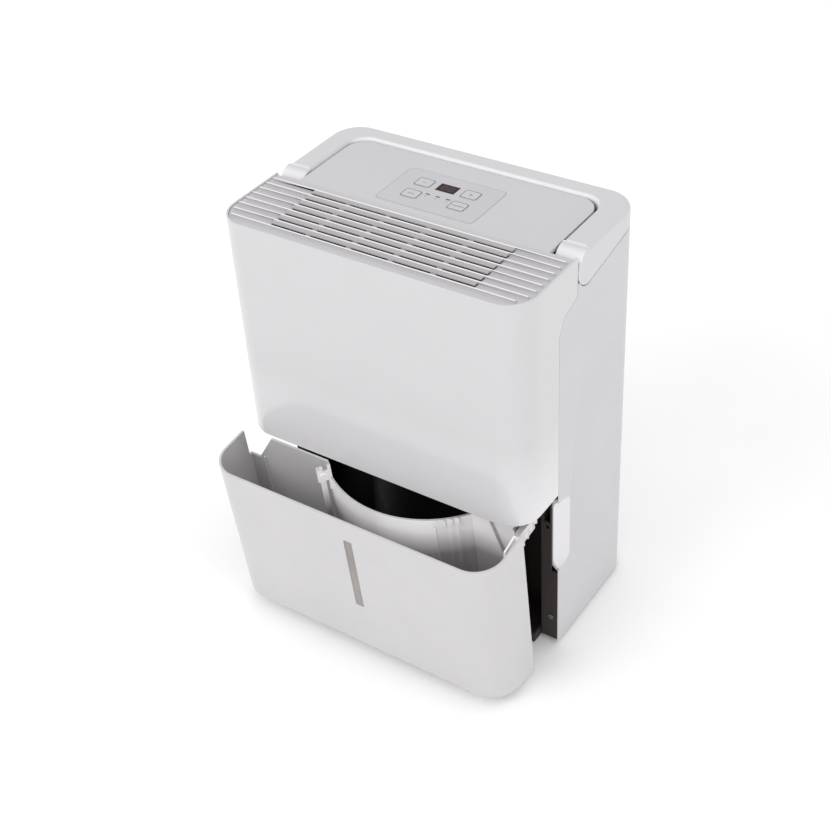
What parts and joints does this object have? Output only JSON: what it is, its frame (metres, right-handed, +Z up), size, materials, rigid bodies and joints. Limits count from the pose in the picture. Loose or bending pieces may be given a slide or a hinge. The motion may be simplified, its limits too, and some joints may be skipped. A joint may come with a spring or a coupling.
{
  "type": "dehumidifier",
  "caption": "Upright compressor dehumidifier with a top outlet grille, control panel, swing carry handle, rear air filter and a pull-out water bucket that tips forward.",
  "frame": {"origin": "on the floor, under the centre of the overall bounds with the bucket pulled out as stored", "axes": "+X to the right seen from the front, +Y to the back, +Z up"},
  "size_m": [0.368, 0.3166, 0.504],
  "materials": {
    "cover_white": "smooth gloss white",
    "casing_white": "fine satin white",
    "handle_white": "fine satin white",
    "grille_white": "satin white",
    "panel_white": "satin white with a cool tint",
    "bucket_white": "satin white",
    "membrane_grey": "printed film",
    "button_white": "satin white",
    "window_smoke": "smoked",
    "lamp_dark": "translucent",
    "gauge_smoke": "smoked translucent",
    "tub_dark": "dark moulded",
    "foot_rubber": "matt",
    "screw_steel": "zinc plated",
    "pin_steel": "ground",
    "filter_black": "woven mesh on a frame",
    "gland_grey": "matt",
    "float_foam": "closed-cell foam",
    "compressor_black": "gloss enamel",
    "bracket_zinc": "zinc plated sheet",
    "coil_aluminium": "thin fins",
    "pipe_copper": "copper tube",
    "fan_grey": "moulded",
    "housing_grey": "moulded",
    "motor_steel": "laminated core",
    "board_green": "circuit laminate",
    "electric_black": "moulded",
    "capacitor_grey": "can"
  },
  "bodies": {
    "casing": {"rear_casing": "casing_white", "front_cover": "cover_white", "outlet_grille": "grille_white", "control_panel": "panel_white", "control_membrane": "membrane_grey", "display_window": "window_smoke", "indicator_lights": "lamp_dark", "control_board": "board_green", "tact_switches": "electric_black", "handle_pins": "pin_steel", "top_deck": "housing_grey", "base_pan": "tub_dark", "rubber_feet": "foot_rubber", "bay_partition": "tub_dark", "bay_ceiling": "tub_dark", "flange_screws": "screw_steel", "rear_screws": "screw_steel", "cord_inlet": "gland_grey", "drain_plug": "foot_rubber", "compressor": "compressor_black", "compressor_mounts": "foot_rubber", "compressor_bracket": "bracket_zinc", "refrigerant_pipes": "pipe_copper", "fan_motor": "motor_steel", "fan_housing": "housing_grey", "drip_tray": "housing_grey", "power_board": "board_green", "run_capacitor": "capacitor_grey", "capacitor_clamp": "bracket_zinc", "bucket_switch": "electric_black", "humidity_sensor": "board_green", "evaporator": "coil_aluminium", "condenser": "coil_aluminium"},
    "carry_handle_body": {"carry_handle": "handle_white"},
    "skids": {"bucket_skids": "bucket_white"},
    "bucket": {"water_bucket": "bucket_white", "level_window": "gauge_smoke", "float_pin": "pin_steel"},
    "float": {"float_arm": "bucket_white", "float_block": "float_foam"},
    "filter_drawer": {"intake_grille": "casing_white", "air_filter": "filter_black"},
    "fan_rotor": {"fan_wheel": "fan_grey", "fan_shaft": "pin_steel"},
    "button_down_body": {"button_down": "button_white"},
    "button_up_body": {"button_up": "button_white"},
    "button_mode_body": {"button_mode": "button_white"},
    "button_power_body": {"button_power": "button_white"}
  },
  "joints": [
    {"name": "handle_swing", "type": "hinge", "parent": "casing", "child": "carry_handle_body", "pos_m": [0, 0.0443, 0.4823], "axis": [1, 0, 0], "range_deg": [0, 90]},
    {"name": "bucket_slide", "type": "slide", "parent": "casing", "child": "skids", "axis": [0, -1, 0], "range_m": [-0.0527, 0.1]},
    {"name": "bucket_tip", "type": "hinge", "parent": "skids", "child": "bucket", "pos_m": [0, -0.09044, 0.01702], "axis": [1, 0, 0], "range_deg": [-5.5, 0]},
    {"name": "float_swing", "type": "hinge", "parent": "bucket", "child": "float", "pos_m": [-0.0675, -0.09818, 0.21218], "axis": [-0.8221, 0.5667, 0.0546], "range_deg": [0, 18]},
    {"name": "filter_pull", "type": "slide", "parent": "casing", "child": "filter_drawer", "axis": [0, 1, 0], "range_m": [0, 0.06]},
    {"name": "fan_spin", "type": "hinge", "parent": "casing", "child": "fan_rotor", "pos_m": [0, 0.0113, 0.342], "axis": [0, 1, 0], "continuous": true},
    {"name": "button_down_press", "type": "slide", "parent": "casing", "child": "button_down_body", "axis": [0, 0, -1], "range_m": [0, 0.0008], "stiffness_N_per_m": 400},
    {"name": "button_up_press", "type": "slide", "parent": "casing", "child": "button_up_body", "axis": [0, 0, -1], "range_m": [0, 0.0008], "stiffness_N_per_m": 400},
    {"name": "button_mode_press", "type": "slide", "parent": "casing", "child": "button_mode_body", "axis": [0, 0, -1], "range_m": [0, 0.0008], "stiffness_N_per_m": 400},
    {"name": "button_power_press", "type": "slide", "parent": "casing", "child": "button_power_body", "axis": [0, 0, -1], "range_m": [0, 0.0008], "stiffness_N_per_m": 400}
  ]
}
